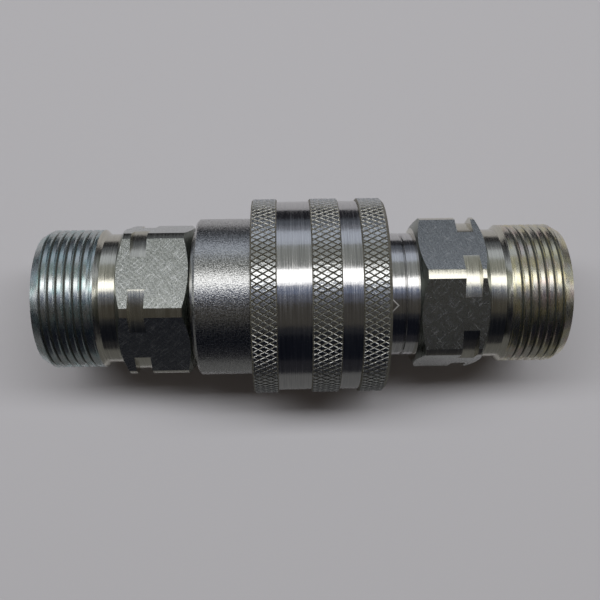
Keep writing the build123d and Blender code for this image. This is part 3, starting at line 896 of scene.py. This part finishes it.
def knurledSteel(name, look):
    def onTop(tree):
        # 1 on the diamonds' tops, 0 in the grooves, which take painted shade
        top = sleeveShape["knurlR"]
        return spread(tree, aroundAxis(tree)[2], *((top - depth) * mm for depth in look["topUnder"]))

    def colour(tree):
        metal = mixed(tree, onTop(tree), look["groove"], look["top"])
        worn = spread(tree, grain(tree, look["speckle"]), *look["wornSpan"], 0.0, look["wornShare"])
        return mixed(tree, worn, metal, look["worn"])

    def rough(tree):
        plain = spread(tree, grain(tree, look["speckle"]), *midSpan, *look["rough"])
        return maths(tree, "MAXIMUM", plain, spread(tree, onTop(tree), 0.0, 1.0, look["grooveRough"], 0.0))

    def height(tree):
        return times(tree, grain(tree, look["speckle"], "soft"), look["depth"])

    return finish(name, colour, rough, height)


scuff = {
    # a diamond-shaped mark on the collar beside the sleeve, in mm and degrees
    "x": 21.9, "angle": 110.0, "reach": 1.45, "line": 0.27, "height": 0.03,
    "ringR": 16.1, "outsideOver": 16.0,     # the collar's radius, and where its outside starts
    "colour": (0.36, 0.35, 0.32), "rough": 0.75,
}


def collarSteel(name, mark):
    look = turned["band"]

    def onMark(tree):
        x, angle, r = aroundAxis(tree)
        along = maths(tree, "SUBTRACT", x, mark["x"] * mm)
        across = times(tree, maths(tree, "SUBTRACT", angle, radians(mark["angle"])), mark["ringR"] * mm)
        far = maths(tree, "ADD", maths(tree, "ABSOLUTE", along), maths(tree, "ABSOLUTE", across))
        off = maths(tree, "ABSOLUTE", maths(tree, "SUBTRACT", far, mark["reach"] * mm))
        line = spread(tree, off, 0.0, mark["line"] * mm, 1.0, 0.0)
        return times(tree, line, maths(tree, "GREATER_THAN", r, mark["outsideOver"] * mm))

    return finish(
        name,
        lambda tree: mixed(tree, onMark(tree), turnedColour(tree, look), mark["colour"]),
        lambda tree: maths(
            tree, "MAXIMUM", turnedRough(tree, look), times(tree, onMark(tree), mark["rough"]),
        ),
        lambda tree: maths(tree, "ADD", turnedHeight(tree), times(tree, onMark(tree), mark["height"])),
        lambda tree: maths(tree, "SUBTRACT", 1.0, onMark(tree)),
    )


small = {
    # two colours, roughness from and to, grain in mm, relief in mm, metal
    "springWire": ((0.34, 0.34, 0.34), (0.20, 0.19, 0.18), (0.25, 0.42), 0.5, 0.012, 1.0),
    "ballSteel": ((0.78, 0.78, 0.78), (0.68, 0.68, 0.68), (0.05, 0.10), 1.2, 0.001, 1.0),
    "sealRubber": ((0.030, 0.030, 0.030), (0.018, 0.018, 0.019), (0.45, 0.62), 0.4, 0.010, 0.0),
    "backupPlastic": ((0.80, 0.79, 0.75), (0.70, 0.69, 0.64), (0.38, 0.52), 0.6, 0.008, 0.0),
}


def smallPartFinish(name, look):
    one, two, rough, size, depth, metal = look
    size = (size,) * 3
    return finish(
        name,
        lambda tree: mixed(tree, spread(tree, grain(tree, size, "fine"), *midSpan), one, two),
        lambda tree: spread(tree, grain(tree, size), *wideSpan, *rough),
        lambda tree: times(tree, grain(tree, size), depth),
        metal,
    )


# Which finish each face takes, by its place on the piece

faceZones = {
    # along the axis, either side of the middle, mm
    "thread": (51, 66.3), "hexagon": (27, 46.5), "relief": (26.4, 27.65), "collar": (24, 28.6),
    "rearChamfer": (27.5, 30.2), "frontChamfer": (44.2, 46),
    # radii, mm
    "threadOver": 16.4, "reliefUnder": 17.2, "collarOver": 15.5, "chamferOver": 17.5,
    "bandUnder": 24.75,
    # of a hexagon's flat: how far it may lie from its place in mm, and its normal lean along the axis
    "flatWithin": 0.03, "lean": 0.01,
}


def dress(piece, finishes):
    # a face takes the first finish whose test it passes
    piece.data.materials.clear()
    for material, test in finishes:
        piece.data.materials.append(material)
    for face in piece.data.polygons:
        x, r = abs(face.center.x) / mm, hypot(face.center.y, face.center.z) / mm
        flat = face.center.dot(face.normal) / mm if abs(face.normal.x) < faceZones["lean"] else 0
        for number, (material, test) in enumerate(finishes):
            if test(x, r, flat):
                face.material_index = number
                break


def within(x, zone):
    start, end = faceZones[zone]
    return start < x < end


def anywhere(x, r, flat):
    return True


def onThread(x, r, flat):
    return within(x, "thread") and r > faceZones["threadOver"]


def onHexFlat(x, r, flat):
    return within(x, "hexagon") and abs(flat - hexShape["halfWidth"]) < faceZones["flatWithin"]


def onChamfer(x, r, flat):
    return (within(x, "rearChamfer") or within(x, "frontChamfer")) and r > faceZones["chamferOver"]


# the recess beside the socket's hexagon, which takes the inner tone as painted shade
def inReliefPaintedShade(x, r, flat):
    return within(x, "relief") and r < faceZones["reliefUnder"]


def onCollar(x, r, flat):
    return within(x, "collar") and r > faceZones["collarOver"]


def onBand(x, r, flat):
    return r <= faceZones["bandUnder"]


studSteel = lathedSteel("turnedStud", "stud")
bandSteel = lathedSteel("turnedBands", "band")
# darker chamfers on both hexagons: painted reflection
chamferPaintedReflection = lathedSteel("turnedChamfersPaintedReflection", "chamfer")
innerSteelAndReliefShade = lathedSteel("innerSteelAndReliefShade", "inner")
flatSteel = milledSteel("milledFlats", milled)
socketThread = threadSteel("socketThread", threadLook, "teal", "pale")
plugThread = threadSteel("plugThread", threadLook, "gold", "pink")
knurlSteel = knurledSteel("knurledSteel", knurlLook)
dress(socketPiece, (
    (socketThread, onThread), (flatSteel, onHexFlat), (chamferPaintedReflection, onChamfer), (innerSteelAndReliefShade, inReliefPaintedShade),
    (studSteel, anywhere),
))
dress(plugPiece, (
    (plugThread, onThread), (flatSteel, onHexFlat), (chamferPaintedReflection, onChamfer), (bandSteel, onCollar),
    (studSteel, anywhere),
))
dress(sleevePiece, ((bandSteel, onBand), (knurlSteel, anywhere)))

# The CAD nodes that stay are dressed whole, by name or by the name's ending
smallFinishes = {name: smallPartFinish(name, look) for name, look in small.items()}
nodeFinishes = {
    "socket_body": tumbledSteel("tumbledBody", tumbled),
    "plug_body": collarSteel("turnedCollar", scuff),
}
endings = {
    "_o_ring": "sealRubber", "_seal": "sealRubber", "_backup_ring": "backupPlastic", "_balls": "ballSteel",
}
for name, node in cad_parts.items():
    material = nodeFinishes.get(name, innerSteelAndReliefShade)
    for ending, key in endings.items():
        if name.endswith(ending):
            material = smallFinishes[key]
    for slot in node.material_slots:
        slot.material = material
for piece in springPieces:
    piece.data.materials.append(smallFinishes["springWire"])
print("materials set")

low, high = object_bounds()
